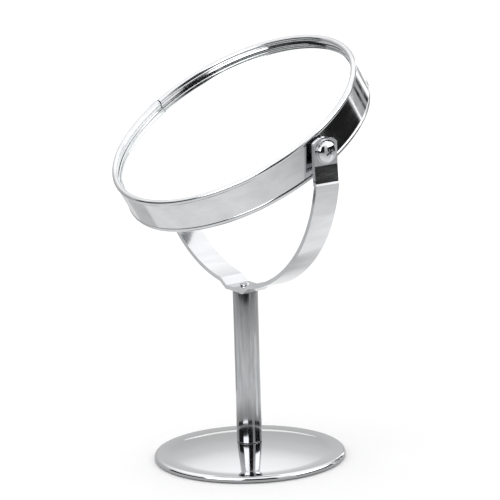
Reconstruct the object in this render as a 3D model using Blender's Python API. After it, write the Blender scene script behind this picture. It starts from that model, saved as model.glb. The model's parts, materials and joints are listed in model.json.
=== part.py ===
"""Tabletop vanity mirror: a two-sided round head that turns in a U yoke on a weighted stand.

Metres, +Z up. The origin is on the table, on the axis of the post. The head turns on a
pivot axis along X, and the yoke swivels on the post about Z.
"""

import math

import bmesh
import bpy
from mathutils import Matrix, Vector

MM = 0.001
TURN = 2 * math.pi

# Head: a rolled hoop with a bead at each face, holding two mirror glasses back to back.
PIVOT_HEIGHT = 130.0 * MM
HEAD_TILT = math.radians(30.5)
HEAD_RADIUS = 52.2 * MM
HEAD_DEPTH = 15.0 * MM
BEAD_RADIUS = 1.2 * MM
BAND_INSET = 0.3 * MM
BAND_SHEET = 0.6 * MM
SEAM_GAP = 0.5 * MM
GLASS_RADIUS = 51.1 * MM
GLASS_RECESS = 3.15 * MM
GLASS_THICKNESS = 2.0 * MM
GLASS_SAG = 1.8 * MM

# Yoke: one flat strip bent to a U, with a pressed-down seat and two upright ears.
STRIP_WIDTH = 10.6 * MM
STRIP_THICKNESS = 1.6 * MM
EAR_GAP = 1.5 * MM
ARC_RADIUS = 56.8 * MM
ARC_HEIGHT = 126.1 * MM
SEAT_HALF = 5.4 * MM
SEAT_RAMP = 4.0 * MM
KINK_HEIGHT = 117.3 * MM
KINK_LENGTH = 0.6 * MM
FLARE = 0.4 * MM
FLARE_TOP = 125.2 * MM
TIP_HEIGHT = 135.5 * MM
TIP_RADIUS = 7.7 * MM

# Post
POST_RADIUS = 4.95 * MM
POST_WALL = 0.8 * MM
POST_TOP = 67.1 * MM
FOOT_INSERT = 11.5 * MM
TOP_INSERT = 11.0 * MM

# Base: a pressed dish over an iron disc, on a foam pad.
BASE_RADIUS = 37.6 * MM
BASE_SHEET = 0.8 * MM
BASE_RIM_GAP = 0.35 * MM
RIM_HEIGHT = 2.5 * MM
RIM_ROUND = 1.5 * MM
DOME_HEIGHT = 6.5 * MM
DOME_RADIUS = 32.3 * MM
VALLEY_HEIGHT = 2.3 * MM
DOME_FLAT = 5.6 * MM
PAD_THICKNESS = 0.8 * MM
PAD_RADIUS = 36.2 * MM
WEIGHT_RADIUS = 30.8 * MM
COUNTERBORE_RADIUS = 5.2 * MM
COUNTERBORE_CEILING = 4.0 * MM

# Fasteners
PIVOT_SHANK = 1.5 * MM
PIVOT_SHANK_END = 48.3 * MM
PIVOT_HEAD_RADIUS = 4.0 * MM
PIVOT_HEAD_HEIGHT = 2.3 * MM
PIVOT_WASHER_RADIUS = 4.6 * MM
PIVOT_WASHER_THICKNESS = 0.5 * MM
PIVOT_SPACER_RADIUS = 3.4 * MM
YOKE_SHANK = 0.95 * MM
YOKE_HEAD_RADIUS = 1.9 * MM
YOKE_HEAD_HEIGHT = 1.4 * MM
FRICTION_WASHER = 0.4 * MM
THREAD_MARGIN = 1.0 * MM
BASE_SHANK = 1.95 * MM
BASE_HEAD_RADIUS = 3.7 * MM
BASE_HEAD_HEIGHT = 1.7 * MM
FLAT_WASHER = 0.45 * MM
FLAT_WASHER_RADIUS = 4.8 * MM
LOCK_WASHER = 0.7 * MM
LOCK_WASHER_RADIUS = 3.6 * MM
LOCK_WASHER_GAP = 0.3

NUT_PLATE_OUTER = 51.0 * MM
NUT_PLATE = (1.6 * MM, 10.0 * MM, 4.2 * MM)

# Filling between the glasses
SPACER_RING_INNER = 45.5 * MM
SPACER_RING_LIP = 49.4 * MM
SPACER_RING_LOW = -1.7 * MM
NOTCH = (6.0 * MM, 11.2 * MM, 6.0 * MM)
FOAM_RADIUS = 44.5 * MM

# Clearances
RUNNING = 0.08 * MM
FACE_GAP = 0.05 * MM
LOOSE = 0.3 * MM

# Sizes that follow from those above
HALF_DEPTH = HEAD_DEPTH / 2
BAND_RADIUS = HEAD_RADIUS - BAND_INSET
GLASS_FRONT = HALF_DEPTH - GLASS_RECESS
GLASS_BACK = GLASS_FRONT - GLASS_THICKNESS
EAR_INNER = HEAD_RADIUS + EAR_GAP
EAR_OUTER = EAR_INNER + STRIP_THICKNESS
STRIP_UNDERSIDE = POST_TOP + FRICTION_WASHER + 2 * FACE_GAP
SEAT_TOP = STRIP_UNDERSIDE + STRIP_THICKNESS
POST_FOOT = DOME_HEIGHT + FACE_GAP
POST_BORE = POST_RADIUS - POST_WALL
MID_RADIUS = ARC_RADIUS - STRIP_THICKNESS / 2
EAR_MIDDLE = (EAR_INNER + EAR_OUTER) / 2
HOLE_REACH = EAR_OUTER + LOOSE


def clear_scene():
    for thing in list(bpy.data.objects):
        bpy.data.objects.remove(thing, do_unlink=True)


def make_material(name, colour, roughness, metallic):
    surface = bpy.data.materials.new(name)
    surface.use_nodes = True
    shader = surface.node_tree.nodes["Principled BSDF"]
    shader.inputs["Base Color"].default_value = (*colour, 1)
    shader.inputs["Roughness"].default_value = roughness
    shader.inputs["Metallic"].default_value = metallic
    surface.diffuse_color = (*colour, 1)
    return surface


def make_materials():
    looks = {
        "chrome": ((0.72, 0.72, 0.73), 0.12, 1.0),
        "satin_chrome": ((0.62, 0.62, 0.63), 0.3, 1.0),
        "mirror_glass": ((0.93, 0.94, 0.94), 0.02, 1.0),
        "zinc_steel": ((0.55, 0.56, 0.58), 0.35, 1.0),
        "cast_iron": ((0.07, 0.07, 0.075), 0.7, 0.6),
        "black_foam": ((0.02, 0.02, 0.022), 0.9, 0.0),
        "white_nylon": ((0.8, 0.79, 0.75), 0.45, 0.0),
        "black_nylon": ((0.02, 0.02, 0.022), 0.4, 0.0),
    }
    return {name: make_material(name, *look) for name, look in looks.items()}


def make_empty(name, location, tilt=0.0):
    """An axis that moving pieces are parented to."""
    axis = bpy.data.objects.new(name, None)
    axis.location = location
    axis.rotation_euler = (tilt, 0, 0)
    bpy.context.scene.collection.objects.link(axis)
    return axis


def add_object(name, shape, look, parent=None, matrix=None):
    """Turns a bmesh into a named object with one material and smooth round faces."""
    mesh = bpy.data.meshes.new(name)
    bmesh.ops.recalc_face_normals(shape, faces=shape.faces)
    shape.to_mesh(mesh)
    shape.free()
    mesh.shade_smooth()
    mesh.set_sharp_from_angle(angle=math.radians(32))
    if look:
        mesh.materials.append(look)
    thing = bpy.data.objects.new(name, mesh)
    thing.parent = parent
    if matrix:
        thing.matrix_basis = matrix
    bpy.context.scene.collection.objects.link(thing)
    return thing


def arc_points(centre, radius, start, end, count):
    """Points on a circle from one angle to another, in degrees, both ends included."""
    angles = [math.radians(start + (end - start) * step / (count - 1)) for step in range(count)]
    return [(centre[0] + radius * math.cos(a), centre[1] + radius * math.sin(a)) for a in angles]


def turned(outline, steps, gap=0.0):
    """Turns a closed outline of (radius, height) points about Z.

    A gap, an angle, leaves the ring open on its -X side, with flat ends.
    """
    shape = bmesh.new()
    turn = Matrix.Rotation(math.pi + gap / 2, 4, "Z")
    points = [shape.verts.new(turn @ Vector((radius, 0, height))) for radius, height in outline]
    edges = []
    for first, second in zip(points, points[1:] + points[:1]):
        if first.co.xy.length > 0 or second.co.xy.length > 0:
            edges.append(shape.edges.new((first, second)))
    spun = bmesh.ops.spin(
        shape, geom=points + edges, axis=(0, 0, 1), cent=(0, 0, 0), steps=steps, angle=TURN - gap
    )
    if gap:
        last = [part for part in spun["geom_last"] if isinstance(part, bmesh.types.BMVert)]
        shape.faces.new(points)
        shape.faces.new(last)
    bmesh.ops.remove_doubles(shape, verts=shape.verts, dist=0.001 * MM)
    return shape


def ring_outline(inner, outer, low, high):
    return [(inner, low), (outer, low), (outer, high), (inner, high)]


def disc_outline(outer, low, high):
    return [(0, low), (outer, low), (outer, high), (0, high)]


def pan_head_outline(shank, end, head_radius, seat, height):
    """A screw along +Z: its shank from end to seat, and a domed head above the seat."""
    edge = 0.35 * height
    crown = arc_points((0, 0), 1, 20, 90, 5)
    dome = [(head_radius * x / math.cos(math.radians(20)), seat + edge + (height - edge) * rise(y))
            for x, y in crown]
    dome[-1] = (0, seat + height)
    return [(0, end), (shank, end), (shank, seat), (head_radius, seat)] + dome


def rise(sine):
    """Height on a dome, from 0 at its 20 degree edge to 1 on its axis."""
    low = math.sin(math.radians(20))
    return (sine - low) / (1 - low)


def add_cutter(name, shape, parent=None, matrix=None):
    cutter = add_object(name, shape, None, parent, matrix)
    cutter.hide_render = True
    cutter.display_type = "WIRE"
    return cutter


def cut(thing, cutter):
    difference = thing.modifiers.new("cut_" + cutter.name, "BOOLEAN")
    difference.object = cutter
    difference.operation = "DIFFERENCE"


def round_bar(radius, low, high, steps=32):
    return turned(disc_outline(radius, low, high), steps)


def cross_recess(size, low, high):
    """A cross-shaped bar along Z, for the driver recess of a screw."""
    shape = bmesh.new()
    half = size / 2
    arm = 0.4 * half
    corner = [(half, -arm), (half, arm), (arm, arm)]
    outline = []
    for quarter in range(4):
        turn = Matrix.Rotation(quarter * math.pi / 2, 4, "Z")
        outline += [turn @ Vector((x, y, 0)) for x, y in corner]
    lower = [shape.verts.new((point.x, point.y, low)) for point in outline]
    face = shape.faces.new(lower)
    top = bmesh.ops.extrude_face_region(shape, geom=[face])
    moved = [part for part in top["geom"] if isinstance(part, bmesh.types.BMVert)]
    bmesh.ops.translate(shape, verts=moved, vec=(0, 0, high - low))
    return shape


def block(size, middle_x):
    """A box of this size whose centre is on the X axis."""
    shape = bmesh.new()
    place = Matrix.Translation((middle_x, 0, 0)) @ Matrix.Diagonal((*size, 1))
    bmesh.ops.create_cube(shape, size=1, matrix=place)
    return shape


def add_screw(name, looks, sizes, parent=None, matrix=None):
    """A pan-head screw with a cross recess in its head."""
    shank, end, head_radius, seat, height = sizes
    outline = pan_head_outline(shank, end, head_radius, seat, height)
    screw = add_object(name, turned(outline, 24), looks, parent, matrix)
    recess = cross_recess(1.15 * head_radius, seat + 0.45 * height, seat + 2 * height)
    cut(screw, add_cutter(name + "_recess", recess, parent, matrix))
    return screw


# Base and post

def dome_height(radius):
    """Height of the dish's outer face, a shallow dome that falls to the rim's valley."""
    fall = DOME_HEIGHT - VALLEY_HEIGHT
    return DOME_HEIGHT - fall * (radius / DOME_RADIUS) ** 2


def add_base_shell(looks):
    hole = BASE_SHANK + LOOSE
    stations = [DOME_FLAT + (DOME_RADIUS - DOME_FLAT) * step / 4 for step in range(5)]
    corner = (BASE_RADIUS - RIM_ROUND, RIM_HEIGHT - RIM_ROUND)
    outer = [(hole, DOME_HEIGHT)]
    outer += [(r, dome_height(r)) for r in stations]
    outer += arc_points(corner, RIM_ROUND, 90, 0, 4)
    outer += [(BASE_RADIUS, BASE_RIM_GAP)]
    inner = [(BASE_RADIUS - BASE_SHEET, BASE_RIM_GAP)]
    inner += arc_points(corner, RIM_ROUND - BASE_SHEET, 0, 90, 2)
    inner += [(r, dome_height(r) - BASE_SHEET) for r in reversed(stations)]
    inner += [(hole, DOME_HEIGHT - BASE_SHEET)]
    add_object("base_shell", turned(outer + inner, 48), looks["chrome"])


def add_base_inside(looks):
    bore = BASE_SHANK + LOOSE
    low = PAD_THICKNESS + FACE_GAP
    stations = (WEIGHT_RADIUS, (WEIGHT_RADIUS + DOME_FLAT) / 2, DOME_FLAT)
    top = [(r, dome_height(r) - BASE_SHEET - LOOSE / 2) for r in stations]
    outline = [(COUNTERBORE_RADIUS, low), (WEIGHT_RADIUS, low)] + top
    outline += [(bore, top[-1][1]), (bore, COUNTERBORE_CEILING)]
    outline += [(COUNTERBORE_RADIUS, COUNTERBORE_CEILING)]
    add_object("base_weight", turned(outline, 36), looks["cast_iron"])
    pad = disc_outline(PAD_RADIUS, 0, PAD_THICKNESS)
    add_object("base_pad", turned(pad, 48), looks["black_foam"])


def add_base_fastening(looks):
    bore = BASE_SHANK + LOOSE / 2
    washer_top = COUNTERBORE_CEILING - FACE_GAP
    washer_low = washer_top - FLAT_WASHER
    lock_top = washer_low - FACE_GAP
    lock_low = lock_top - LOCK_WASHER
    washer = ring_outline(bore, FLAT_WASHER_RADIUS, washer_low, washer_top)
    add_object("base_washer", turned(washer, 24), looks["zinc_steel"])
    lock = ring_outline(bore, LOCK_WASHER_RADIUS, lock_low, lock_top)
    add_object("base_lock_washer", turned(lock, 24, LOCK_WASHER_GAP), looks["zinc_steel"])
    upside_down = Matrix.Rotation(math.pi, 4, "X")
    seat = -(lock_low - FACE_GAP)
    end = -(POST_FOOT + FOOT_INSERT - THREAD_MARGIN)
    sizes = (BASE_SHANK, end, BASE_HEAD_RADIUS, seat, BASE_HEAD_HEIGHT)
    add_screw("base_screw", looks["zinc_steel"], sizes, None, upside_down)


def add_post(looks):
    tube = ring_outline(POST_BORE, POST_RADIUS, POST_FOOT, POST_TOP)
    add_object("post_tube", turned(tube, 32), looks["satin_chrome"])
    plug = POST_BORE - FACE_GAP
    foot = ring_outline(BASE_SHANK + FACE_GAP, plug, POST_FOOT, POST_FOOT + FOOT_INSERT)
    add_object("post_foot_insert", turned(foot, 32), looks["zinc_steel"])
    top = ring_outline(YOKE_SHANK + FACE_GAP, plug, POST_TOP - TOP_INSERT, POST_TOP)
    add_object("post_top_insert", turned(top, 32), looks["zinc_steel"])


def add_yoke_fastening(looks):
    low = POST_TOP + FACE_GAP
    washer = ring_outline(YOKE_SHANK + RUNNING, POST_RADIUS - LOOSE, low, low + FRICTION_WASHER)
    add_object("yoke_friction_washer", turned(washer, 24), looks["white_nylon"])
    end = POST_TOP - TOP_INSERT + THREAD_MARGIN
    sizes = (YOKE_SHANK, end, YOKE_HEAD_RADIUS, SEAT_TOP + FACE_GAP, YOKE_HEAD_HEIGHT)
    add_screw("yoke_screw", looks["chrome"], sizes)


# Yoke

def strip_stations():
    """(x, z, half width) along the middle of the strip, from the seat to the right ear's tip."""
    seat_height = STRIP_UNDERSIDE + STRIP_THICKNESS / 2
    half = STRIP_WIDTH / 2
    stations = [(0, seat_height, half), (SEAT_HALF, seat_height, half)]
    first = math.asin((SEAT_HALF + SEAT_RAMP) / MID_RADIUS)
    last = math.acos((ARC_HEIGHT - KINK_HEIGHT) / MID_RADIUS)
    turns = 20
    for step in range(turns + 1):
        angle = first + (last - first) * step / turns
        x = MID_RADIUS * math.sin(angle)
        z = ARC_HEIGHT - MID_RADIUS * math.cos(angle)
        stations.append((x, z, half))
    stations.append((EAR_MIDDLE + FLARE, KINK_HEIGHT + KINK_LENGTH, half))
    stations.append((EAR_MIDDLE, FLARE_TOP, half))
    tip_centre = TIP_HEIGHT - TIP_RADIUS
    widest = math.asin(half / TIP_RADIUS)
    for step in range(6):
        angle = widest * (1 - step / 5.5)
        height = tip_centre + TIP_RADIUS * math.cos(angle)
        stations.append((EAR_MIDDLE, height, TIP_RADIUS * math.sin(angle)))
    return stations


def add_yoke_strip(looks, axis):
    right = strip_stations()
    left = [(-x, z, half) for x, z, half in reversed(right[1:])]
    shape = bmesh.new()
    rows = []
    for x, z, half in left + right:
        height = z - axis.location.z
        rows.append([shape.verts.new((x, side * half, height)) for side in (-1, 1)])
    for row, after in zip(rows, rows[1:]):
        shape.faces.new((row[0], row[1], after[1], after[0]))
    strip = add_object("yoke_strip", shape, looks["satin_chrome"], axis)
    solid = strip.modifiers.new("sheet", "SOLIDIFY")
    solid.thickness = STRIP_THICKNESS
    solid.offset = 0
    solid.use_even_offset = True
    lift = Matrix.Translation((0, 0, PIVOT_HEIGHT - axis.location.z))
    along_x = lift @ Matrix.Rotation(math.pi / 2, 4, "Y")
    pivot_hole = round_bar(PIVOT_SHANK + RUNNING, -HOLE_REACH, HOLE_REACH, 24)
    cut(strip, add_cutter("pivot_hole", pivot_hole, axis, along_x))
    seat_hole = round_bar(YOKE_SHANK + RUNNING, -2 * STRIP_THICKNESS, 2 * STRIP_THICKNESS, 24)
    cut(strip, add_cutter("seat_hole", seat_hole, axis))


def add_pivot_washers(looks, axis):
    lift = Matrix.Translation((0, 0, PIVOT_HEIGHT - axis.location.z))
    low = EAR_OUTER + FACE_GAP
    outline = ring_outline(PIVOT_SHANK + RUNNING, PIVOT_WASHER_RADIUS, low, low + PIVOT_WASHER_THICKNESS)
    for side, sign in (("right", 1), ("left", -1)):
        place = lift @ Matrix.Rotation(sign * math.pi / 2, 4, "Y")
        add_object("pivot_washer_" + side, turned(outline, 24), looks["chrome"], axis, place)


# Head, modelled about its own centre with the front glass facing +Z

def bead_outline(sign):
    """Half of the hoop's section: the bead at one face, from the outer wall to the inner wall."""
    centre = (HEAD_RADIUS - BEAD_RADIUS, sign * (HALF_DEPTH - BEAD_RADIUS))
    return arc_points(centre, BEAD_RADIUS, sign * -42, sign * 250, 9)


def add_head_band(looks, axis):
    inner = BAND_RADIUS - BAND_SHEET
    shoulder = GLASS_FRONT + FACE_GAP
    bead = bead_outline(1)
    lip = bead[-1][0]
    front = bead + [(lip, shoulder), (inner, shoulder)]
    rear = [(inner, -shoulder), (lip, -shoulder)] + list(reversed(bead_outline(-1)))
    band = add_object(
        "head_band", turned(front + rear, 72, gap=SEAM_GAP / HEAD_RADIUS), looks["satin_chrome"], axis
    )
    along_x = Matrix.Rotation(math.pi / 2, 4, "Y")
    hole = round_bar(PIVOT_SHANK + RUNNING, -HOLE_REACH, HOLE_REACH, 24)
    cut(band, add_cutter("band_hole", hole, axis, along_x))


def add_glasses(looks, axis):
    front = disc_outline(GLASS_RADIUS, GLASS_BACK, GLASS_FRONT)
    add_object("front_glass", turned(front, 72), looks["mirror_glass"], axis)
    radii = [GLASS_RADIUS * (1 - step / 4) for step in range(5)]
    outer = [(r, -GLASS_FRONT + sag(r)) for r in reversed(radii)]
    inner = [(r, -GLASS_BACK + sag(r)) for r in radii]
    add_object("rear_glass", turned(outer + inner, 48), looks["mirror_glass"], axis)


def sag(radius):
    """How far the magnifying glass is dished towards the middle of the head."""
    return GLASS_SAG * (1 - (radius / GLASS_RADIUS) ** 2)


def add_head_filling(looks, axis):
    rim = GLASS_BACK - LOOSE / 2
    outer = GLASS_RADIUS - LOOSE
    outline = [(SPACER_RING_INNER, rim), (SPACER_RING_INNER, SPACER_RING_LOW)]
    outline += [(SPACER_RING_LIP, SPACER_RING_LOW), (SPACER_RING_LIP, -rim)]
    outline += [(outer, -rim), (outer, rim)]
    spacer = add_object("mirror_spacer", turned(outline, 48), looks["white_nylon"], axis)
    for side, sign in (("right", 1), ("left", -1)):
        notch = block(NOTCH, sign * (PIVOT_SHANK_END - LOOSE + NOTCH[0] / 2))
        cut(spacer, add_cutter("notch_" + side, notch, axis))
    pad = disc_outline(FOAM_RADIUS, sag(0) - GLASS_BACK + LOOSE, rim)
    add_object("foam_pad", turned(pad, 48), looks["black_foam"], axis)


def add_pivots(looks, axis):
    bore = PIVOT_SHANK + FACE_GAP
    seat = EAR_OUTER + PIVOT_WASHER_THICKNESS + 2 * FACE_GAP
    screw = (PIVOT_SHANK, PIVOT_SHANK_END, PIVOT_HEAD_RADIUS, seat, PIVOT_HEAD_HEIGHT)
    spacer = ring_outline(bore, PIVOT_SPACER_RADIUS, BAND_RADIUS + FACE_GAP, EAR_INNER - FACE_GAP)
    for side, sign in (("right", 1), ("left", -1)):
        place = Matrix.Rotation(sign * math.pi / 2, 4, "Y")
        add_screw("pivot_screw_" + side, looks["chrome"], screw, axis, place)
        add_object("pivot_spacer_" + side, turned(spacer, 24), looks["black_nylon"], axis, place)
        plate = block(NUT_PLATE, sign * (NUT_PLATE_OUTER - NUT_PLATE[0] / 2))
        nut = add_object("pivot_nut_" + side, plate, looks["zinc_steel"], axis)
        thread = round_bar(bore, PIVOT_SHANK_END, EAR_INNER, 24)
        cut(nut, add_cutter("nut_thread_" + side, thread, axis, place))


def main():
    clear_scene()
    looks = make_materials()
    add_base_shell(looks)
    add_base_inside(looks)
    add_base_fastening(looks)
    add_post(looks)
    add_yoke_fastening(looks)
    yoke_axis = make_empty("yoke_axis", (0, 0, SEAT_TOP))
    add_yoke_strip(looks, yoke_axis)
    add_pivot_washers(looks, yoke_axis)
    head_axis = make_empty("head_axis", (0, 0, PIVOT_HEIGHT), HEAD_TILT)
    add_head_band(looks, head_axis)
    add_glasses(looks, head_axis)
    add_head_filling(looks, head_axis)
    add_pivots(looks, head_axis)


main()
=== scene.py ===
"""Tabletop vanity mirror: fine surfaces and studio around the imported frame.

Every piece is modelled where it stands, in metres, from the sizes of the frame's own nodes.
The head's pieces are made flat at the origin and then tipped into the yoke.
"""

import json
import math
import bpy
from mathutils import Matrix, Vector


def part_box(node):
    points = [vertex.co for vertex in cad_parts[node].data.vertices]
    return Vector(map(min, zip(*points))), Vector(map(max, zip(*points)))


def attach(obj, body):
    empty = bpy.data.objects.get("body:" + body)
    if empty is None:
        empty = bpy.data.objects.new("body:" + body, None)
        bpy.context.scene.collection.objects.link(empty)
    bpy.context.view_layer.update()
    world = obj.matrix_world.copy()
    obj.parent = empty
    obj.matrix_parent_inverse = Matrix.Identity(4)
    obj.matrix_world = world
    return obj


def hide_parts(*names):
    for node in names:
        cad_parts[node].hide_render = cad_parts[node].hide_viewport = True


bl_info = {
    "name": "Tabletop Vanity Mirror",
    "version": (1, 0, 0),
    "blender": (4, 5, 0),
    "location": "View3D > Sidebar > Mirror",
    "description": "Models a two-sided round mirror in a U yoke on a weighted stand",
    "category": "Add Mesh",
}

import bmesh
import bpy
from bpy.props import FloatProperty, FloatVectorProperty, IntProperty, PointerProperty
from mathutils import Matrix, Vector

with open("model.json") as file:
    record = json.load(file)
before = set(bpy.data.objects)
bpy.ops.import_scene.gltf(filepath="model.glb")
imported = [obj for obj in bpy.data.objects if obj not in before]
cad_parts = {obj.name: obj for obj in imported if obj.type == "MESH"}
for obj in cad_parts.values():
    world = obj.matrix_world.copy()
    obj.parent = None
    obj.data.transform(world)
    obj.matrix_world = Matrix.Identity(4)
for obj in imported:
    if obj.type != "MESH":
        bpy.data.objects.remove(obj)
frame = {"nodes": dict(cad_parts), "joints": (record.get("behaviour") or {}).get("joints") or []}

MM = 0.001
WELD = 0.002 * MM
FACE_GAP = 0.05 * MM

PIVOT_SHANK = 1.5 * MM
PIVOT_HEAD = 4.0 * MM
PIVOT_RECESS = 4.7 * MM
PIVOT_HOLE = 1.58 * MM
PIVOT_WASHER_HOLE = 1.6 * MM
PIVOT_SPACER_HOLE = 1.56 * MM
PIVOT_SPACER_RADIUS = 3.4 * MM
YOKE_SHANK = 0.95 * MM
YOKE_RECESS = 2.3 * MM
SEAT_HOLE = 1.03 * MM
FRICTION_HOLE = 1.05 * MM
DISH_HOLE = 2.25 * MM

# A pan head rises upright to a part of its height, then curves in from this angle to its crown.
PAN_EDGE = 0.35
PAN_ANGLE = math.radians(20)
PAN_STEPS = 12
SCREW_CHAMFER = 0.15 * MM
SCREW_ROUND = 0.07 * MM
RECESS_WING = 0.2
RECESS_FLOOR = 0.3
RECESS_TAPER = 0.45

BEND_STEPS = 72
EAR_STEPS = 12
TIP_STEPS = 14

TENT_RADIUS = 2.5
CARD_RADIUS = 950 * MM
CARD_FACET = 3
FLOOR_SIZE = 12
FLOOR_LEVEL = -0.2 * MM
TABLE_LEVEL = -0.4 * MM
LYING_LEVEL = -0.1 * MM

KEY_POWER = 7
KEY_SIZE = 2.4
KEY_PLACE = Vector((-0.3, -0.3, 1.6))
KEY_AIM = Vector((0, 0, 0.1))

CAMERA_AZIMUTH = math.radians(55.188)
CAMERA_ELEVATION = math.radians(12.613)
CAMERA_ROLL = math.radians(-1.668)
CAMERA_DISTANCE = 1.28506
CAMERA_LENS = 238.83
CAMERA_SENSOR = 36
CAMERA_TARGET = Vector((0, 0, 96 * MM))
CAMERA_SHIFT_RIGHT = 2.328 * MM
CAMERA_SHIFT_DOWN = 12.53 * MM


def hex_colour(code):
    """An sRGB hex value as linear red, green and blue."""
    parts = [int(code[place:place + 2], 16) / 255 for place in (1, 3, 5)]
    return tuple(p / 12.92 if p <= 0.04045 else ((p + 0.055) / 1.055) ** 2.4 for p in parts)


def joint_height(name):
    return next(joint["pos_m"][2] for joint in frame["joints"] if joint["name"] == name)


BASE_LOW, BASE_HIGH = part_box("base_shell")
TUBE_LOW, TUBE_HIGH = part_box("post_tube")
STRIP_LOW, STRIP_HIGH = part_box("yoke_strip")
_, BAND_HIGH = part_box("head_band")
WASHER_LOW, WASHER_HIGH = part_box("pivot_washer_right")
SPACER_LOW, SPACER_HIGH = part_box("pivot_spacer_right")
HEAD_LOW, HEAD_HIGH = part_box("pivot_screw_right")
SEAT_LOW, SEAT_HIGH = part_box("yoke_screw")
FRICTION_LOW, FRICTION_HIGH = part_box("yoke_friction_washer")
PAD_LOW, PAD_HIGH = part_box("base_pad")
PIVOT = Vector((0, 0, joint_height("head_flip")))


# Sizes and colours that a user would change

def length(name, description, default):
    return FloatProperty(name=name, description=description, default=default, unit="LENGTH", precision=5)


def tint(name, description, code):
    return FloatVectorProperty(
        name=name, description=description, default=hex_colour(code), subtype="COLOR", min=0, max=1
    )


class MirrorSizes(bpy.types.PropertyGroup):
    """Sizes of the mirror's pieces."""

    head_radius: length("Head radius", "Outside of the hoop's beads", BAND_HIGH.x)
    head_depth: length("Head depth", "Face to face over the beads", 15.0 * MM)
    head_tilt: FloatProperty(
        name="Head tilt", description="Lean of the front glass from level", default=math.radians(30.5),
        subtype="ANGLE",
    )
    bead_radius: length("Bead radius", "Radius of the rolled beads", 1.2 * MM)
    band_inset: length("Band inset", "How far the band stands inside the beads", 0.3 * MM)
    band_sheet: length("Band sheet", "Thickness of the hoop's sheet", 0.6 * MM)
    seam_gap: length("Seam gap", "Opening where the hoop's ends meet", 0.5 * MM)
    glass_radius: length("Glass radius", "Radius of each glass", 51.1 * MM)
    glass_recess: length("Glass recess", "How far each glass lies below its bead's top", 3.15 * MM)
    glass_thickness: length("Glass thickness", "Thickness of each glass", 2.0 * MM)
    glass_sag: length("Glass sag", "How far the magnifying glass is dished", 1.8 * MM)
    bevel_width: length("Bevel width", "Ground bevel round each glass", 2.0 * MM)
    bevel_depth: length("Bevel depth", "Depth of that bevel at the edge", 0.25 * MM)
    strip_thickness: length("Strip thickness", "Thickness of the yoke's strip", 1.6 * MM)
    ear_gap: length("Ear gap", "Space between the hoop's beads and each ear", 1.5 * MM)
    arc_radius: length("Arc radius", "Outside of the yoke's bend", 56.8 * MM)
    arc_height: length("Arc height", "Height of the bend's centre", 126.1 * MM)
    seat_half: length("Seat half", "Half of the flat seat over the post", 5.4 * MM)
    seat_ramp: length("Seat ramp", "Length of the step beside the seat", 4.0 * MM)
    kink_height: length("Kink height", "Height of the crease below each ear", 117.3 * MM)
    kink_length: length("Kink length", "Height of that crease", 0.6 * MM)
    flare: length("Flare", "How far each ear leans out at its crease", 0.4 * MM)
    flare_top: length("Flare top", "Height above which the ear is upright", 125.2 * MM)
    tip_radius: length("Tip radius", "Radius of the top of each ear", 7.7 * MM)
    tube_wall: length("Tube wall", "Wall of the post", 0.8 * MM)
    dish_sheet: length("Dish sheet", "Thickness of the base's sheet", 0.8 * MM)
    dome_radius: length("Dome radius", "Where the dome meets the rim", 32.3 * MM)
    dome_flat: length("Dome flat", "Flat under the post", 5.6 * MM)
    valley_height: length("Valley height", "Height where dome and rim meet", 2.3 * MM)
    rim_height: length("Rim height", "Height of the rolled rim", 2.5 * MM)
    rim_round: length("Rim round", "Radius of the rolled rim", 1.5 * MM)
    steps: IntProperty(name="Steps", description="Facets round the large pieces", default=256, min=32)


class MirrorColours(bpy.types.PropertyGroup):
    """Colours of the mirror's finishes."""

    chrome: tint("Chrome", "Polished chromium plate", "#CACBCD")
    # Darker than the chrome: partly satin plate, partly painted shade of the darker table that the post
    # reflects.
    tube: tint("Tube", "Satin chromium plate of the post", "#A9AAAC")
    silver: tint("Silver", "Silvering behind the glass", "#F4F6F5")
    zinc: tint("Zinc", "Zinc plate on steel", "#B4B7BC")
    iron: tint("Iron", "Grey cast iron", "#45464A")
    foam: tint("Foam", "Closed-cell foam", "#1C1C1E")
    nylon: tint("Nylon", "Moulded natural nylon", "#E6E3D8")
    black: tint("Black nylon", "Moulded nylon, dyed black", "#1B1B1C")
    floor: tint("Floor", "Paper sweep under the mirror", "#F4F4F4")


# Modelling helpers

def finish_edit():
    if bpy.context.mode != "OBJECT":
        bpy.ops.object.mode_set(mode="OBJECT")


def deselect_all():
    finish_edit()
    bpy.ops.object.select_all(action="DESELECT")


def make_active(piece):
    deselect_all()
    piece.select_set(True)
    bpy.context.view_layer.objects.active = piece


def select_faces(piece, test):
    """In edit mode, selects only the faces whose middle passes a test."""
    bpy.ops.mesh.select_mode(type="FACE")
    bpy.ops.mesh.select_all(action="DESELECT")
    shape = bmesh.from_edit_mesh(piece.data)
    for face in shape.faces:
        middle = sum((v.co for v in face.verts), Vector()) / len(face.verts)
        if test(piece.matrix_world @ middle):
            face.select_set(True)
    shape.select_flush_mode()
    bmesh.update_edit_mesh(piece.data)


def arc(centre, radius, start, end, steps):
    """Points of a circle from one angle to another, in degrees, both ends included."""
    angles = [math.radians(start + (end - start) * step / steps) for step in range(steps + 1)]
    return [(centre[0] + radius * math.cos(a), centre[1] + radius * math.sin(a)) for a in angles]


def draw_line(name, points):
    """Starts a piece as one vertex and extrudes it from point to point, each (x, y, z)."""
    deselect_all()
    bpy.ops.mesh.primitive_plane_add(size=MM, location=points[0])
    piece = bpy.context.active_object
    piece.name = piece.data.name = name
    bpy.ops.object.transform_apply(location=True, rotation=True, scale=True)
    bpy.ops.object.mode_set(mode="EDIT")
    bpy.ops.mesh.select_mode(type="VERT")
    bpy.ops.mesh.select_all(action="SELECT")
    bpy.ops.mesh.merge(type="CENTER")
    for before, after in zip(points, points[1:]):
        step = Vector(after) - Vector(before)
        bpy.ops.mesh.extrude_vertices_move(TRANSFORM_OT_translate={"value": step})
    return piece


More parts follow.
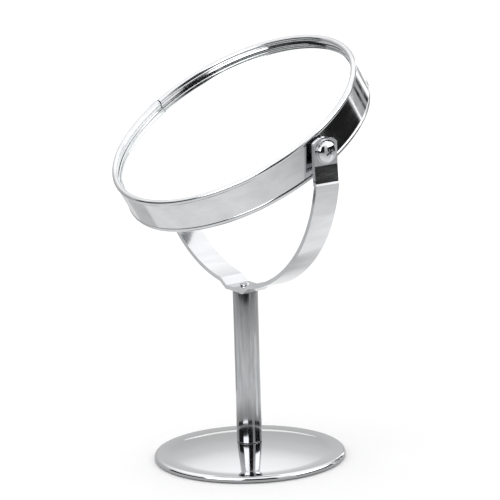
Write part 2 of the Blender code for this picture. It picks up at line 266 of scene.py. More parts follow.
def close_surface():
    """Merges seams and poles, then turns every face outwards."""
    bpy.ops.mesh.select_all(action="SELECT")
    bpy.ops.mesh.remove_doubles(threshold=WELD)
    bpy.ops.mesh.normals_make_consistent(inside=False)


def turn_section(name, section, steps, gap=0.0, closed=True):
    """Turns an outline of (radius, height) points about Z. A gap leaves the ring open at -X."""
    points = [(radius, 0, height) for radius, height in section]
    if closed:
        points.append(points[0])
    piece = draw_line(name, points)
    bpy.ops.mesh.select_all(action="SELECT")
    bpy.ops.mesh.remove_doubles(threshold=WELD)
    if gap:
        bpy.ops.mesh.edge_face_add()
    bpy.ops.mesh.spin(
        steps=steps, angle=math.tau - gap, use_auto_merge=not gap, center=(0, 0, 0), axis=(0, 0, 1)
    )
    close_surface()
    finish_edit()
    if gap:
        place(piece, Matrix.Rotation(math.pi + gap / 2, 4, "Z"))
    return piece


def place(piece, matrix):
    """Moves the piece and leaves its object at the origin, with its place in its mesh."""
    make_active(piece)
    piece.matrix_world = matrix @ piece.matrix_world
    bpy.context.view_layer.update()
    bpy.ops.object.transform_apply(location=True, rotation=True, scale=True)


def apply_modifier(piece, kind, **settings):
    make_active(piece)
    modifier = piece.modifiers.new(kind.lower(), kind)
    for name, value in settings.items():
        setattr(modifier, name, value)
    bpy.ops.object.modifier_apply(modifier=modifier.name)


def cut_with(piece, cutter):
    """Cuts the piece with another object, which is then removed."""
    apply_modifier(piece, "BOOLEAN", object=cutter, operation="DIFFERENCE", solver="EXACT")
    bpy.data.objects.remove(cutter, do_unlink=True)


def add_drill(radius, depth, location, rotation=(0, 0, 0), sides=64):
    """A cutter for a round hole, long enough to pass through the piece at both ends."""
    deselect_all()
    bpy.ops.mesh.primitive_cylinder_add(
        vertices=sides, radius=radius, depth=depth, location=location, rotation=rotation
    )
    drill = bpy.context.active_object
    bpy.ops.object.transform_apply(location=True, rotation=True, scale=True)
    return drill


def round_edges(piece, width, segments=2, angle=40):
    apply_modifier(
        piece, "BEVEL", width=width, segments=segments, limit_method="ANGLE",
        angle_limit=math.radians(angle), harden_normals=False, miter_outer="MITER_ARC",
    )


def smooth(piece, angle=30):
    make_active(piece)
    bpy.ops.object.shade_smooth_by_angle(angle=math.radians(angle))


def hand_over(piece, body, node, material):
    """Gives a finished piece its material and its body, and hides the node that it stands for."""
    piece.data.materials.clear()
    piece.data.materials.append(bpy.data.materials[material])
    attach(piece, body)
    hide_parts(node)


def head_place(sizes):
    return Matrix.Translation(PIVOT) @ Matrix.Rotation(sizes.head_tilt, 4, "X")


# Materials

def add_node(tree, kind, settings=None, values=None, links=None):
    """Adds a node, sets it up and links the named inputs to other nodes' outputs."""
    node = tree.nodes.new(kind)
    for name, value in (settings or {}).items():
        setattr(node, name, value)
    for socket, value in (values or {}).items():
        node.inputs[socket].default_value = value
    for socket, source in (links or {}).items():
        tree.links.new(source, node.inputs[socket])
    return node


def new_material(name, values):
    """Makes a material with a Principled shader whose sockets hold these values."""
    material = bpy.data.materials.new(name)
    material.use_nodes = True
    tree = material.node_tree
    shader = tree.nodes["Principled BSDF"]
    for socket, value in values.items():
        shader.inputs[socket].default_value = value
    return tree, shader


def plated_metal(
    name, colour, roughness, spread, stretch, turn=(0, 0, 0), centre=(0, 0, 0), wave=0.02, bloom=0.03
):
    """Chromium plate: what is under it shows as long faint marks and a slow swell of the surface.

    stretch gives the marks' spacing along X, Y and Z, in metres, and bloom how much they tint it.
    """
    tree, shader = new_material(name, {"Base Color": (*colour, 1), "Metallic": 1.0})
    place_node = add_node(tree, "ShaderNodeTexCoord")
    turned = add_node(
        tree, "ShaderNodeMapping", {"vector_type": "TEXTURE"},
        {"Location": centre, "Rotation": turn}, {"Vector": place_node.outputs["Object"]},
    )
    scaled = add_node(
        tree, "ShaderNodeMapping", {}, {"Scale": [1 / s for s in stretch]},
        {"Vector": turned.outputs["Vector"]},
    )
    marks = add_node(
        tree, "ShaderNodeTexNoise", {}, {"Scale": 1.0, "Detail": 4.0, "Roughness": 0.6},
        {"Vector": scaled.outputs["Vector"]},
    )
    rough = add_node(
        tree, "ShaderNodeMapRange", {},
        {"From Min": 0.3, "From Max": 0.7, "To Min": roughness - spread, "To Max": roughness + spread},
        {"Value": marks.outputs["Fac"]},
    )
    tree.links.new(rough.outputs["Result"], shader.inputs["Roughness"])
    cloud = add_node(
        tree, "ShaderNodeMapRange", {}, {"From Min": 0.35, "From Max": 0.65}, {"Value": marks.outputs["Fac"]}
    )
    shade = add_node(
        tree, "ShaderNodeMix", {"data_type": "RGBA"},
        {6: (*[c * (1 - bloom) for c in colour], 1), 7: (*[c * (1 + bloom) for c in colour], 1)},
        {0: cloud.outputs["Result"]},
    )
    tree.links.new(shade.outputs[2], shader.inputs["Base Color"])
    swell = add_node(
        tree, "ShaderNodeTexNoise", {}, {"Scale": 1 / (9 * MM), "Detail": 1.0},
        {"Vector": turned.outputs["Vector"]},
    )
    grain = add_node(
        tree, "ShaderNodeBump", {}, {"Strength": 0.25, "Distance": 0.004 * MM},
        {"Height": marks.outputs["Fac"]},
    )
    bump = add_node(
        tree, "ShaderNodeBump", {}, {"Strength": 1.0, "Distance": wave * MM},
        {"Height": swell.outputs["Fac"], "Normal": grain.outputs["Normal"]},
    )
    tree.links.new(bump.outputs["Normal"], shader.inputs["Normal"])


class MIRROR_OT_materials(bpy.types.Operator):
    """Make the mirror's finishes"""

    bl_idname = "mirror.materials"
    bl_label = "Finishes"

    def execute(self, context):
        colours = context.scene.mirror_colours
        sizes = context.scene.mirror_sizes
        tilt = (sizes.head_tilt, 0, 0)
        chrome = tuple(colours.chrome)
        tube = tuple(colours.tube)
        # Pressed steel, buffed and chromium plated: a clear reflection with a slow swell in it.
        plated_metal("chrome_plated_pressing", chrome, 0.05, 0.02, (30 * MM, 30 * MM, 30 * MM), wave=0.01)
        # Drawn steel tube, plated: fine draw lines along its length soften the reflection. Its colour is
        # darker than the polished chrome's: partly its satin plate, partly painted shade of the darker table
        # that it reflects.
        plated_metal("chrome_plated_tube", tube, 0.1, 0.03, (1.0 * MM, 1.0 * MM, 14 * MM), bloom=0.13)
        # Rolled flat strip, plated: rolling marks across the bend.
        plated_metal("chrome_plated_strip", chrome, 0.09, 0.04, (5 * MM, 30 * MM, 5 * MM), bloom=0.06)
        # Rolled hoop, plated: marks run round the hoop.
        plated_metal(
            "chrome_plated_hoop", chrome, 0.11, 0.06, (11 * MM, 11 * MM, 6 * MM), tilt, PIVOT,
            wave=0.035, bloom=0.07,
        )
        # Turned screw, plated: small, hard and bright.
        plated_metal("chrome_plated_screw", chrome, 0.06, 0.02, (0.6 * MM, 0.6 * MM, 0.6 * MM), wave=0.004)
        # Zinc plate over steel: dull, slightly blue, with a crystal mottle.
        plated_metal("zinc_plated_steel", tuple(colours.zinc), 0.35, 0.08, (0.4 * MM, 0.4 * MM, 0.4 * MM))
        self.glass(colours)
        self.plain(colours)
        return {"FINISHED"}

    def glass(self, colours):
        # Silvered float glass: the silver behind it gives a clear, almost white image.
        new_material(
            "silvered_float_glass",
            {"Metallic": 1.0, "Roughness": 0.012, "Base Color": (*colours.silver, 1)},
        )

    def plain(self, colours):
        rows = (
            # Grey iron as cast: sand texture, no shine.
            ("cast_iron_disc", colours.iron, 0.7, 0.6, 0.5 * MM, 0.08 * MM),
            # Closed-cell EVA foam: matt, with cells just large enough to see.
            ("closed_cell_foam", colours.foam, 0.92, 0.0, 0.35 * MM, 0.05 * MM),
            # Injection moulded nylon: waxy, with a faint spark-eroded grain.
            ("moulded_nylon", colours.nylon, 0.42, 0.0, 0.25 * MM, 0.01 * MM),
            # The same, dyed black; the black also stands in for the shade in the slot between ear and hoop,
            # as painted shade.
            ("black_nylon_and_slot_shade", colours.black, 0.38, 0.0, 0.25 * MM, 0.01 * MM),
        )
        for name, colour, roughness, metallic, grain, depth in rows:
            tree, shader = new_material(name, {"Metallic": metallic, "Roughness": roughness})
            place_node = add_node(tree, "ShaderNodeTexCoord")
            noise = add_node(
                tree, "ShaderNodeTexNoise", {}, {"Scale": 1 / grain, "Detail": 3.0},
                {"Vector": place_node.outputs["Object"]},
            )
            shade = add_node(
                tree, "ShaderNodeMix", {"data_type": "RGBA"},
                {6: (*[c * 0.85 for c in colour], 1), 7: (*colour, 1)}, {0: noise.outputs["Fac"]},
            )
            tree.links.new(shade.outputs[2], shader.inputs["Base Color"])
            bump = add_node(
                tree, "ShaderNodeBump", {}, {"Strength": 1.0, "Distance": depth},
                {"Height": noise.outputs["Fac"]},
            )
            tree.links.new(bump.outputs["Normal"], shader.inputs["Normal"])


# Stand

class MIRROR_OT_base(bpy.types.Operator):
    """Model the pressed dish and the foam pad under it"""

    bl_idname = "mirror.base"
    bl_label = "Base"

    def execute(self, context):
        sizes = context.scene.mirror_sizes
        self.dish(sizes)
        self.pad(sizes)
        return {"FINISHED"}

    def dish(self, sizes):
        radius = BASE_HIGH.x
        top = BASE_HIGH.z
        sheet = sizes.dish_sheet
        fall = top - sizes.valley_height
        corner = (radius - sizes.rim_round, sizes.rim_height - sizes.rim_round)
        count = 18
        width = sizes.dome_radius - sizes.dome_flat
        stations = [sizes.dome_flat + width * k / count for k in range(count + 1)]
        dome = [(r, top - fall * (r / sizes.dome_radius) ** 2) for r in stations]
        section = [(DISH_HOLE, top)] + dome
        section += arc(corner, sizes.rim_round, 90, 0, 12)
        section += [(radius, BASE_LOW.z + 0.15 * MM), (radius - 0.15 * MM, BASE_LOW.z)]
        section += [(radius - sheet, BASE_LOW.z)]
        section += arc(corner, sizes.rim_round - sheet, 0, 90, 5)
        section += [(r, z - sheet) for r, z in reversed(dome)]
        section += [(DISH_HOLE, top - sheet)]
        dish = turn_section("base_dish", section, sizes.steps)
        smooth(dish)
        hand_over(dish, "stand", "base_shell", "chrome_plated_pressing")

    def pad(self, sizes):
        radius = PAD_HIGH.x
        low, high = PAD_LOW.z, PAD_HIGH.z
        edge = 0.25 * MM
        section = [(0, low)] + arc((radius - edge, low + edge), edge, 270, 360, 5)
        section += arc((radius - edge, high - edge), edge, 0, 90, 5) + [(0, high)]
        pad = turn_section("foot_pad", section, 96, closed=False)
        smooth(pad)
        hand_over(pad, "stand", "base_pad", "closed_cell_foam")


class MIRROR_OT_post(bpy.types.Operator):
    """Model the post's tube and the washer on top of it"""

    bl_idname = "mirror.post"
    bl_label = "Post"

    def execute(self, context):
        sizes = context.scene.mirror_sizes
        outer, low, high = TUBE_HIGH.x, TUBE_LOW.z, TUBE_HIGH.z
        inner = outer - sizes.tube_wall
        edge = 0.25 * MM
        section = [(inner, low)] + arc((outer - edge, low + edge), edge, 270, 360, 4)
        section += arc((outer - edge, high - edge), edge, 0, 90, 4) + [(inner, high)]
        tube = turn_section("post", section, 128)
        smooth(tube)
        hand_over(tube, "stand", "post_tube", "chrome_plated_tube")
        low, high, outer = FRICTION_LOW.z, FRICTION_HIGH.z, FRICTION_HIGH.x
        edge = 0.1 * MM
        section = [(FRICTION_HOLE, low), (outer - edge, low), (outer, low + edge)]
        section += [(outer, high - edge), (outer - edge, high), (FRICTION_HOLE, high)]
        washer = turn_section("friction_washer", section, 64)
        smooth(washer)
        hand_over(washer, "stand", "yoke_friction_washer", "moulded_nylon")
        return {"FINISHED"}


# Fasteners

def model_screw(name, shank, end, head, seat, top, recess):
    """A pan-head screw along +Z with its cross recess, from its shank's end to its crown."""
    edge = seat + PAN_EDGE * (top - seat)
    low = math.sin(PAN_ANGLE)
    crown = []
    for step in range(PAN_STEPS + 1):
        angle = PAN_ANGLE + (math.pi / 2 - PAN_ANGLE) * step / PAN_STEPS
        lift = (math.sin(angle) - low) / (1 - low)
        crown.append((head * math.cos(angle) / math.cos(PAN_ANGLE), edge + (top - edge) * lift))
    crown[-1] = (0, top)
    chamfer = SCREW_CHAMFER
    section = [(0, end), (shank - 2 * chamfer, end), (shank, end + 2 * chamfer), (shank, seat)]
    section += [(head - chamfer, seat), (head, seat + chamfer)] + crown
    screw = turn_section(name, section, 96, closed=False)
    floor = seat + RECESS_FLOOR * (top - seat)
    for turn in (0, math.pi / 2):
        cut_with(screw, add_recess_blade(recess, RECESS_WING * recess, floor, top + MM, turn))
    round_edges(screw, SCREW_ROUND, 2, 45)
    smooth(screw)
    apply_modifier(screw, "WEIGHTED_NORMAL", weight=60, keep_sharp=True)
    return screw


def add_recess_blade(length_across, width, low, high, turn):
    """One wing of the driver recess: a bar that narrows towards its floor."""
    deselect_all()
    bpy.ops.mesh.primitive_cube_add(size=1, location=(0, 0, (low + high) / 2), rotation=(0, 0, turn))
    blade = bpy.context.active_object
    blade.scale = (length_across, width, high - low)
    bpy.ops.object.transform_apply(location=True, rotation=True, scale=True)
    bpy.ops.object.mode_set(mode="EDIT")
    select_faces(blade, lambda middle: middle.z < low + WELD)
    bpy.ops.transform.resize(value=(RECESS_TAPER, RECESS_TAPER, 1), center_override=(0, 0, low))
    finish_edit()
    return blade


def side_place(sign):
    """Turns a piece made along +Z so that it points out of one side of the pivot."""
    return Matrix.Translation(PIVOT) @ Matrix.Rotation(sign * math.pi / 2, 4, "Y")


class MIRROR_OT_pivots(bpy.types.Operator):
    """Model the screw, washer and spacer at each side of the head"""

    bl_idname = "mirror.pivots"
    bl_label = "Pivots"

    def execute(self, context):
        sizes = context.scene.mirror_sizes
        tilt = head_place(sizes) @ Matrix.Translation(-PIVOT)
        washer_radius = (WASHER_HIGH.y - WASHER_LOW.y) / 2
        for side, sign in (("right", 1), ("left", -1)):
            screw = model_screw(
                "pivot_screw_fine_" + side, PIVOT_SHANK, HEAD_LOW.x, PIVOT_HEAD, WASHER_HIGH.x + FACE_GAP,
                HEAD_HIGH.x, PIVOT_RECESS,
            )
            place(screw, tilt @ side_place(sign))
            hand_over(screw, "head", "pivot_screw_" + side, "chrome_plated_screw")
            washer = self.ring(
                "washer_" + side, PIVOT_WASHER_HOLE, washer_radius, WASHER_LOW.x, WASHER_HIGH.x
            )
            place(washer, side_place(sign))
            hand_over(washer, "yoke", "pivot_washer_" + side, "chrome_plated_screw")
            spacer = self.ring(
                "spacer_" + side, PIVOT_SPACER_HOLE, PIVOT_SPACER_RADIUS, SPACER_LOW.x, SPACER_HIGH.x
            )
            place(spacer, side_place(sign))
            # The spacer's black also serves as painted shade in the slot between ear and hoop.
            hand_over(spacer, "head", "pivot_spacer_" + side, "black_nylon_and_slot_shade")
        return {"FINISHED"}

    def ring(self, name, inner, outer, low, high):
        edge = 0.12 * MM
        section = [(inner, low), (outer - edge, low)]
        section += arc((outer - edge, low + edge), edge, 270, 360, 3)[1:]
        section += arc((outer - edge, high - edge), edge, 0, 90, 3) + [(inner, high)]
        ring = turn_section(name, section, 96)
        smooth(ring)
        return ring


class MIRROR_OT_yoke_screw(bpy.types.Operator):
    """Model the screw that holds the yoke on the post"""

    bl_idname = "mirror.yoke_screw"
    bl_label = "Yoke screw"

    def execute(self, context):
        seat = STRIP_LOW.z + context.scene.mirror_sizes.strip_thickness + FACE_GAP
        screw = model_screw(
            "yoke_screw_fine", YOKE_SHANK, SEAT_LOW.z, SEAT_HIGH.x, seat, SEAT_HIGH.z, YOKE_RECESS
        )
        hand_over(screw, "stand", "yoke_screw", "chrome_plated_screw")
        return {"FINISHED"}


# Yoke

class MIRROR_OT_yoke(bpy.types.Operator):
    """Model the U strip with its seat, creases and ears"""

    bl_idname = "mirror.yoke"
    bl_label = "Yoke"

    def execute(self, context):
        sizes = context.scene.mirror_sizes
        half = STRIP_HIGH.y
        thick = sizes.strip_thickness
        seat = STRIP_LOW.z + thick / 2
        strip = self.ribbon(sizes, half, seat)
        apply_modifier(
            strip, "MIRROR", use_axis=(True, False, False), use_mirror_merge=True, merge_threshold=WELD
        )
        apply_modifier(strip, "SOLIDIFY", thickness=thick, offset=0, use_even_offset=True)
        make_active(strip)
        bpy.ops.object.mode_set(mode="EDIT")
        close_surface()
        finish_edit()
        reach = 2 * (STRIP_HIGH.x + MM)
        cut_with(strip, add_drill(PIVOT_HOLE, reach, PIVOT, (0, math.pi / 2, 0)))
        cut_with(strip, add_drill(SEAT_HOLE, 4 * thick, (0, 0, seat)))
        round_edges(strip, 0.18 * MM, 6, 60)
        smooth(strip, 16)
        apply_modifier(strip, "WEIGHTED_NORMAL", weight=100, keep_sharp=True)
        hand_over(strip, "yoke", "yoke_strip", "chrome_plated_strip")
        return {"FINISHED"}

    def ribbon(self, sizes, half, seat):
        """The right half of the strip's middle surface, extruded from an edge across the seat."""
        middle = sizes.arc_radius - sizes.strip_thickness / 2
        first = math.asin((sizes.seat_half + sizes.seat_ramp) / middle)
        last = math.acos((sizes.arc_height - sizes.kink_height) / middle)
        ear = sizes.head_radius + sizes.ear_gap + sizes.strip_thickness / 2
        centre = Vector((0, 0, sizes.arc_height))
        points = [Vector((0, 0, seat)), Vector((sizes.seat_half, 0, seat))]
        for step in range(BEND_STEPS + 1):
            angle = first + (last - first) * step / BEND_STEPS
            points.append(centre + middle * Vector((math.sin(angle), 0, -math.cos(angle))))
        low, high = sizes.kink_height + sizes.kink_length, sizes.flare_top
        for step in range(EAR_STEPS + 1):
            part = step / EAR_STEPS
            lean = sizes.flare * (1 - part)
            points.append(Vector((ear + lean, 0, low + (high - low) * part)))
        strip = draw_line("yoke", [(0, -half, seat), (0, half, seat)])
        bpy.ops.mesh.select_mode(type="EDGE")
        bpy.ops.mesh.select_all(action="SELECT")
        for before, after in zip(points, points[1:]):
            bpy.ops.mesh.extrude_region_move(TRANSFORM_OT_translate={"value": after - before})
        tip_centre = STRIP_HIGH.z - sizes.tip_radius
        widest = math.asin(half / sizes.tip_radius)
        height, width = points[-1].z, half
        for step in range(TIP_STEPS + 1):
            angle = widest * (1 - step / (TIP_STEPS + 0.5))
            new_height = tip_centre + sizes.tip_radius * math.cos(angle)
            new_width = sizes.tip_radius * math.sin(angle)
            bpy.ops.mesh.extrude_region_move(TRANSFORM_OT_translate={"value": (0, 0, new_height - height)})
            bpy.ops.transform.resize(value=(1, new_width / width, 1), center_override=(ear, 0, new_height))
            height, width = new_height, new_width
        finish_edit()
        return strip


# Head

class MIRROR_OT_hoop(bpy.types.Operator):
    """Model the rolled hoop with its two beads and the seam at the left pivot"""

    bl_idname = "mirror.hoop"
    bl_label = "Hoop"

    def execute(self, context):
        sizes = context.scene.mirror_sizes
        bead = sizes.bead_radius
        half = sizes.head_depth / 2
        outer = sizes.head_radius - sizes.band_inset
        inner = outer - sizes.band_sheet
        shoulder = half - sizes.glass_recess + FACE_GAP
        section = []
        for sign in (1, -1):
            centre = (sizes.head_radius - bead, sign * (half - bead))
            turn = arc(centre, bead, sign * -42, sign * 250, 28)
            turn += [(turn[-1][0], sign * shoulder), (inner, sign * shoulder)]
            section += turn if sign > 0 else list(reversed(turn))
        hoop = turn_section("hoop", section, sizes.steps, gap=sizes.seam_gap / sizes.head_radius)
        cut_with(hoop, add_drill(PIVOT_HOLE, 2 * (outer + MM), (0, 0, 0), (0, math.pi / 2, 0)))
        smooth(hoop)
        place(hoop, head_place(sizes))
        hand_over(hoop, "head", "head_band", "chrome_plated_hoop")
        return {"FINISHED"}


class MIRROR_OT_glasses(bpy.types.Operator):
    """Model the plain glass in front and the magnifying glass behind"""

    bl_idname = "mirror.glasses"
    bl_label = "Glasses"

    def execute(self, context):
        sizes = context.scene.mirror_sizes
        front = sizes.head_depth / 2 - sizes.glass_recess
        radius = sizes.glass_radius
        for name, node, sign, sag in (
            ("front_mirror", "front_glass", 1, 0), ("rear_mirror", "rear_glass", -1, sizes.glass_sag),
        ):
            section = self.section(sizes, radius, front, sag)
            if sign < 0:
                section = [(r, -z) for r, z in reversed(section)]
            glass = turn_section(name, section, sizes.steps, closed=False)
            smooth(glass, 2 if sag == 0 else 4)
            place(glass, head_place(sizes))
            hand_over(glass, "head", node, "silvered_float_glass")
        return {"FINISHED"}

    def section(self, sizes, radius, front, sag):
        """Outline of a glass whose face looks up, from the middle of its back to that of its face."""
        back = front - sizes.glass_thickness
        rings = 24 if sag else 1
        flat = radius - sizes.bevel_width
        behind = [radius * k / rings for k in range(rings + 1)]
        ahead = [flat * k / rings for k in range(rings, -1, -1)]
        section = [(r, back + self.dished(r, radius, sag)) for r in behind]
        section += [(radius, front - sizes.bevel_depth)]
        section += [(r, front + self.dished(r, radius, sag)) for r in ahead]
        return section

    def dished(self, r, radius, sag):
        return -sag * (1 - (r / radius) ** 2)


class MIRROR_OT_inner_pieces(bpy.types.Operator):
    """Give the pieces that stay as packed their finishes"""

    bl_idname = "mirror.inner_pieces"
    bl_label = "Inner pieces"

    def execute(self, context):
        finishes = {
            "zinc_plated_steel": (
                "base_screw", "base_washer", "base_lock_washer", "post_foot_insert", "post_top_insert",
                "pivot_nut_left", "pivot_nut_right",
            ),
            "cast_iron_disc": ("base_weight",),
            "moulded_nylon": ("mirror_spacer",),
            "closed_cell_foam": ("foam_pad",),
        }
        for material, nodes in finishes.items():
            for node in nodes:
                mesh = frame["nodes"][node].data
                mesh.materials.clear()
                mesh.materials.append(bpy.data.materials[material])
        return {"FINISHED"}


# Studio

def glow_material(name, stops, coordinate="HEIGHT", reach=1.0):
    """An emission whose strength follows stops of (place, strength) along one measure of the card.

    HEIGHT reads the sine of the elevation on a dome of radius reach, DISTANCE the distance
    from the mirror as a part of reach.
    """
    material = bpy.data.materials.new(name)
    material.use_nodes = True
    tree = material.node_tree
    tree.nodes.clear()
    place_node = add_node(tree, "ShaderNodeTexCoord")
    scaled = add_node(
        tree, "ShaderNodeMapping", {}, {"Scale": (1 / reach,) * 3}, {"Vector": place_node.outputs["Object"]}
    )
    if coordinate == "HEIGHT":
        measure = add_node(tree, "ShaderNodeSeparateXYZ", {}, {}, {"Vector": scaled.outputs["Vector"]})
        value = measure.outputs["Z"]
    else:
        measure = add_node(
            tree, "ShaderNodeVectorMath", {"operation": "LENGTH"}, {}, {"Vector": scaled.outputs["Vector"]}
        )
        value = measure.outputs["Value"]
    ramp = add_node(tree, "ShaderNodeValToRGB", {}, {}, {"Fac": value})
    most = max(strength for _, strength in stops)
    for position, strength in stops[1:-1]:
        ramp.color_ramp.elements.new(position)
    for element, (position, strength) in zip(ramp.color_ramp.elements, stops):
        element.position = position
        element.color = (strength / most,) * 3 + (1,)
    light = add_node(tree, "ShaderNodeEmission", {}, {"Strength": most}, {"Color": ramp.outputs["Color"]})
    add_node(tree, "ShaderNodeOutputMaterial", {}, {}, {"Surface": light.outputs["Emission"]})
    return material


class MIRROR_OT_stage(bpy.types.Operator):
    """Make the floor, the soft light and the camera"""

    bl_idname = "mirror.stage"
    bl_label = "Stage"

    def execute(self, context):
        scene = context.scene
        scene.view_settings.view_transform = "Standard"
        self.floor(scene)
        self.cards()
        self.world(scene)
        self.lights(scene)
        self.camera(scene)
        return {"FINISHED"}

    def floor(self, scene):
        deselect_all()
        bpy.ops.mesh.primitive_plane_add(size=FLOOR_SIZE, location=(0, 0, FLOOR_LEVEL))
        floor = bpy.context.active_object
        floor.name = "floor"
        floor.visible_glossy = False
        # Matt white paper: no shine, so that the floor melts into the background.
        new_material("paper_sweep", {"Base Color": (*scene.mirror_colours.floor, 1), "Roughness": 0.9})
        floor.data.materials.append(bpy.data.materials["paper_sweep"])

    def cards(self):
        """What the chrome reflects: a tent that is bright above, a lit table with a painted shadow round the
        base, painted patches of light and shade on the table, and dark and white cards.
        """
        tent = glow_material("tent_light", (
            (0.0, 0.55), (0.22, 0.68), (0.42, 0.9), (0.57, 1.3), (0.75, 1.6), (1.0, 1.6),
        ), "HEIGHT", TENT_RADIUS)
        # Painted light and shade of the floor, seen only in reflections: a pool that is bright near the
        # mirror and fades with distance, and a painted shadow, a darker ring right round the base.
        table = glow_material("table_light_and_base_shadow", (
            (0.0, 0.5), (0.02, 0.55), (0.03, 1.05), (0.06, 1.05), (0.14, 0.75), (0.25, 0.55), (1.0, 0.45),
        ), "DISTANCE", TENT_RADIUS)
        deselect_all()
        bpy.ops.mesh.primitive_uv_sphere_add(segments=64, ring_count=32, radius=TENT_RADIUS)
        self.set_card("tent", tent)
        bpy.ops.mesh.primitive_circle_add(
            vertices=64, radius=TENT_RADIUS, fill_type="NGON", location=(0, 0, TABLE_LEVEL)
        )
        self.set_card("table", table)
        dark = glow_material("dark_card", ((0.0, 0.02), (1.0, 0.02)))
        bright = glow_material("bright_card", ((0.0, 2.2), (1.0, 2.2)))
        # A painted pool of light lying on the table to the right and back, seen only in reflections.
        patch = glow_material("painted_floor_light_pool", ((0.0, 1.2), (1.0, 1.2)))
        box = glow_material("light_box", ((0.0, 4.0), (1.0, 4.0)))
        soft = glow_material("soft_card", ((0.0, 0.6), (1.0, 0.6)))
        # Painted shade on the table, seen only in reflections: an even glow, dimmer than the table's own
        # glow near the mirror.
        even_glow = glow_material("even_table_glow", ((0.0, 0.68), (1.0, 0.68)))
        for name, start, end, low, high, material in (
            ("dark_card", 20, 80, 2, 400, dark),
            ("white_slit_a", 82, 84, 25, 500, bright),
            ("soft_slit", 85, 94, 25, 500, soft),
            ("dark_slit_a", 94, 98, 25, 500, dark),
            ("dark_slit_b", 103, 109, 25, 500, dark),
            ("white_slit_b", 112, 118, 25, 500, bright),
            ("dark_card_left", 215, 268, 0, 400, dark),
            ("dark_card_back", 268, 318, 0, 240, dark),
            ("dark_card_upper", 318, 358, 0, 850, dark),
            ("light_box_right", 21, 80, 410, 850, box),
            ("light_box_front", 269, 315, 250, 850, box),
        ):
            self.stand_card(name, start, end, CARD_RADIUS, low * MM, high * MM)
            self.set_card(name, material)
        for name, start, end, near, far, material in (
            ("white_strip_a", 126, 129, 450, 2400, bright),
            ("white_strip_b", 132, 140, 450, 2400, bright),
            ("white_strip_c", 150, 156, 300, 900, bright),
            # Painted shade: a dimmer patch over the table to the left.
            ("soft_patch", 178, 210, 95, 500, even_glow),
            # Painted pool of light on the table, brighter than the table's own glow there.
            ("painted_floor_light_pool", 38, 60, 50, 280, patch),
        ):
            self.lay_card(name, start, end, near * MM, far * MM)
            self.set_card(name, material)

    def lay_card(self, name, start, end, near, far):
        """A card that lies on the table, from one bearing and distance to another."""
        steps = max(2, round(abs(end - start) / CARD_FACET))
        edge = arc((0, 0), near, start, end, steps)
        draw_line(name, [(x, y, LYING_LEVEL) for x, y in edge])
        bpy.ops.mesh.select_all(action="SELECT")
        bpy.ops.mesh.extrude_region_move(TRANSFORM_OT_translate={"value": (0, 0, 0)})
        bpy.ops.transform.resize(value=(far / near, far / near, 1), center_override=(0, 0, 0))
        finish_edit()

    def stand_card(self, name, start, end, radius, low, high):
        """A card that stands on the table, curved round the mirror from one bearing to another."""
        steps = max(2, round(abs(end - start) / CARD_FACET))
        edge = arc((0, 0), radius, start, end, steps)
        draw_line(name, [(x, y, low) for x, y in edge])
        bpy.ops.mesh.select_all(action="SELECT")
        bpy.ops.mesh.extrude_region_move(TRANSFORM_OT_translate={"value": (0, 0, high - low)})
        finish_edit()

    def set_card(self, name, material):
        card = bpy.context.active_object
        card.name = card.data.name = name
        card.data.materials.append(material)
        card.visible_camera = False
        card.visible_diffuse = False
        card.visible_shadow = False
        card.visible_transmission = False

    def world(self, scene):
        scene.world = bpy.data.worlds.new("studio")
        scene.world.use_nodes = True
        background = scene.world.node_tree.nodes["Background"]
        background.inputs["Color"].default_value = (1, 1, 1, 1)
        background.inputs["Strength"].default_value = 1.0

    def lights(self, scene):
        lamp = bpy.data.lights.new("key", "AREA")
        lamp.energy = KEY_POWER
        lamp.size = KEY_SIZE
        key = bpy.data.objects.new("key", lamp)
        key.location = KEY_PLACE
        key.rotation_euler = (KEY_AIM - KEY_PLACE).to_track_quat("-Z", "Y").to_euler()
        key.visible_camera = False
        key.visible_glossy = False
        scene.collection.objects.link(key)

    def camera(self, scene):
        azimuth, elevation = CAMERA_AZIMUTH, CAMERA_ELEVATION
        back = Vector((
            math.sin(azimuth) * math.cos(elevation),
            -math.cos(azimuth) * math.cos(elevation),
            math.sin(elevation),
        ))
        right = Vector((math.cos(azimuth), math.sin(azimuth), 0))
        up = back.cross(right)
        aim = CAMERA_TARGET + right * CAMERA_SHIFT_RIGHT - up * CAMERA_SHIFT_DOWN
        stand = Matrix.Translation(aim + back * CAMERA_DISTANCE)
        data = bpy.data.cameras.new("camera")
        data.lens = CAMERA_LENS
        data.sensor_width = CAMERA_SENSOR
        data.clip_start = 0.05
        camera = bpy.data.objects.new("camera", data)
        axes = Matrix((right, up, back)).transposed().to_4x4()
        camera.matrix_world = stand @ axes @ Matrix.Rotation(CAMERA_ROLL, 4, "Z")
        scene.collection.objects.link(camera)
        scene.camera = camera


OPERATORS = (
    MIRROR_OT_materials, MIRROR_OT_base, MIRROR_OT_post, MIRROR_OT_yoke, MIRROR_OT_yoke_screw,
    MIRROR_OT_pivots, MIRROR_OT_hoop, MIRROR_OT_glasses, MIRROR_OT_inner_pieces, MIRROR_OT_stage,
)


class MIRROR_PT_panel(bpy.types.Panel):
    """Lists the mirror's pieces in the sidebar"""

    bl_idname = "MIRROR_PT_panel"
    bl_label = "Vanity Mirror"
    bl_space_type = "VIEW_3D"
    bl_region_type = "UI"
    bl_category = "Mirror"

    def draw(self, context):
        layout = self.layout
        for operator in OPERATORS:
            layout.operator(operator.bl_idname)
        for group in (context.scene.mirror_sizes, context.scene.mirror_colours):
            column = layout.column()
            for name in group.__annotations__:
                column.prop(group, name)


CLASSES = (MirrorSizes, MirrorColours, *OPERATORS, MIRROR_PT_panel)


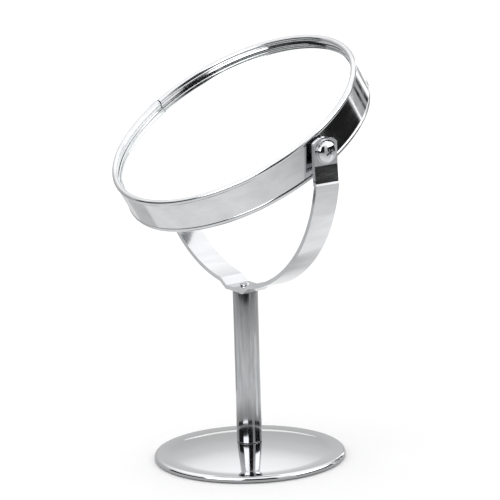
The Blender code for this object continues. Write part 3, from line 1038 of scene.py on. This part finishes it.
def register():
    for item in CLASSES:
        bpy.utils.register_class(item)
    bpy.types.Scene.mirror_sizes = PointerProperty(type=MirrorSizes)
    bpy.types.Scene.mirror_colours = PointerProperty(type=MirrorColours)


def unregister():
    del bpy.types.Scene.mirror_colours
    del bpy.types.Scene.mirror_sizes
    for item in reversed(CLASSES):
        bpy.utils.unregister_class(item)


def main():
    register()
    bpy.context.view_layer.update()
    for operator in OPERATORS:
        group, name = operator.bl_idname.split(".")
        getattr(getattr(bpy.ops, group), name)()


if __name__ == "__main__":
    main()
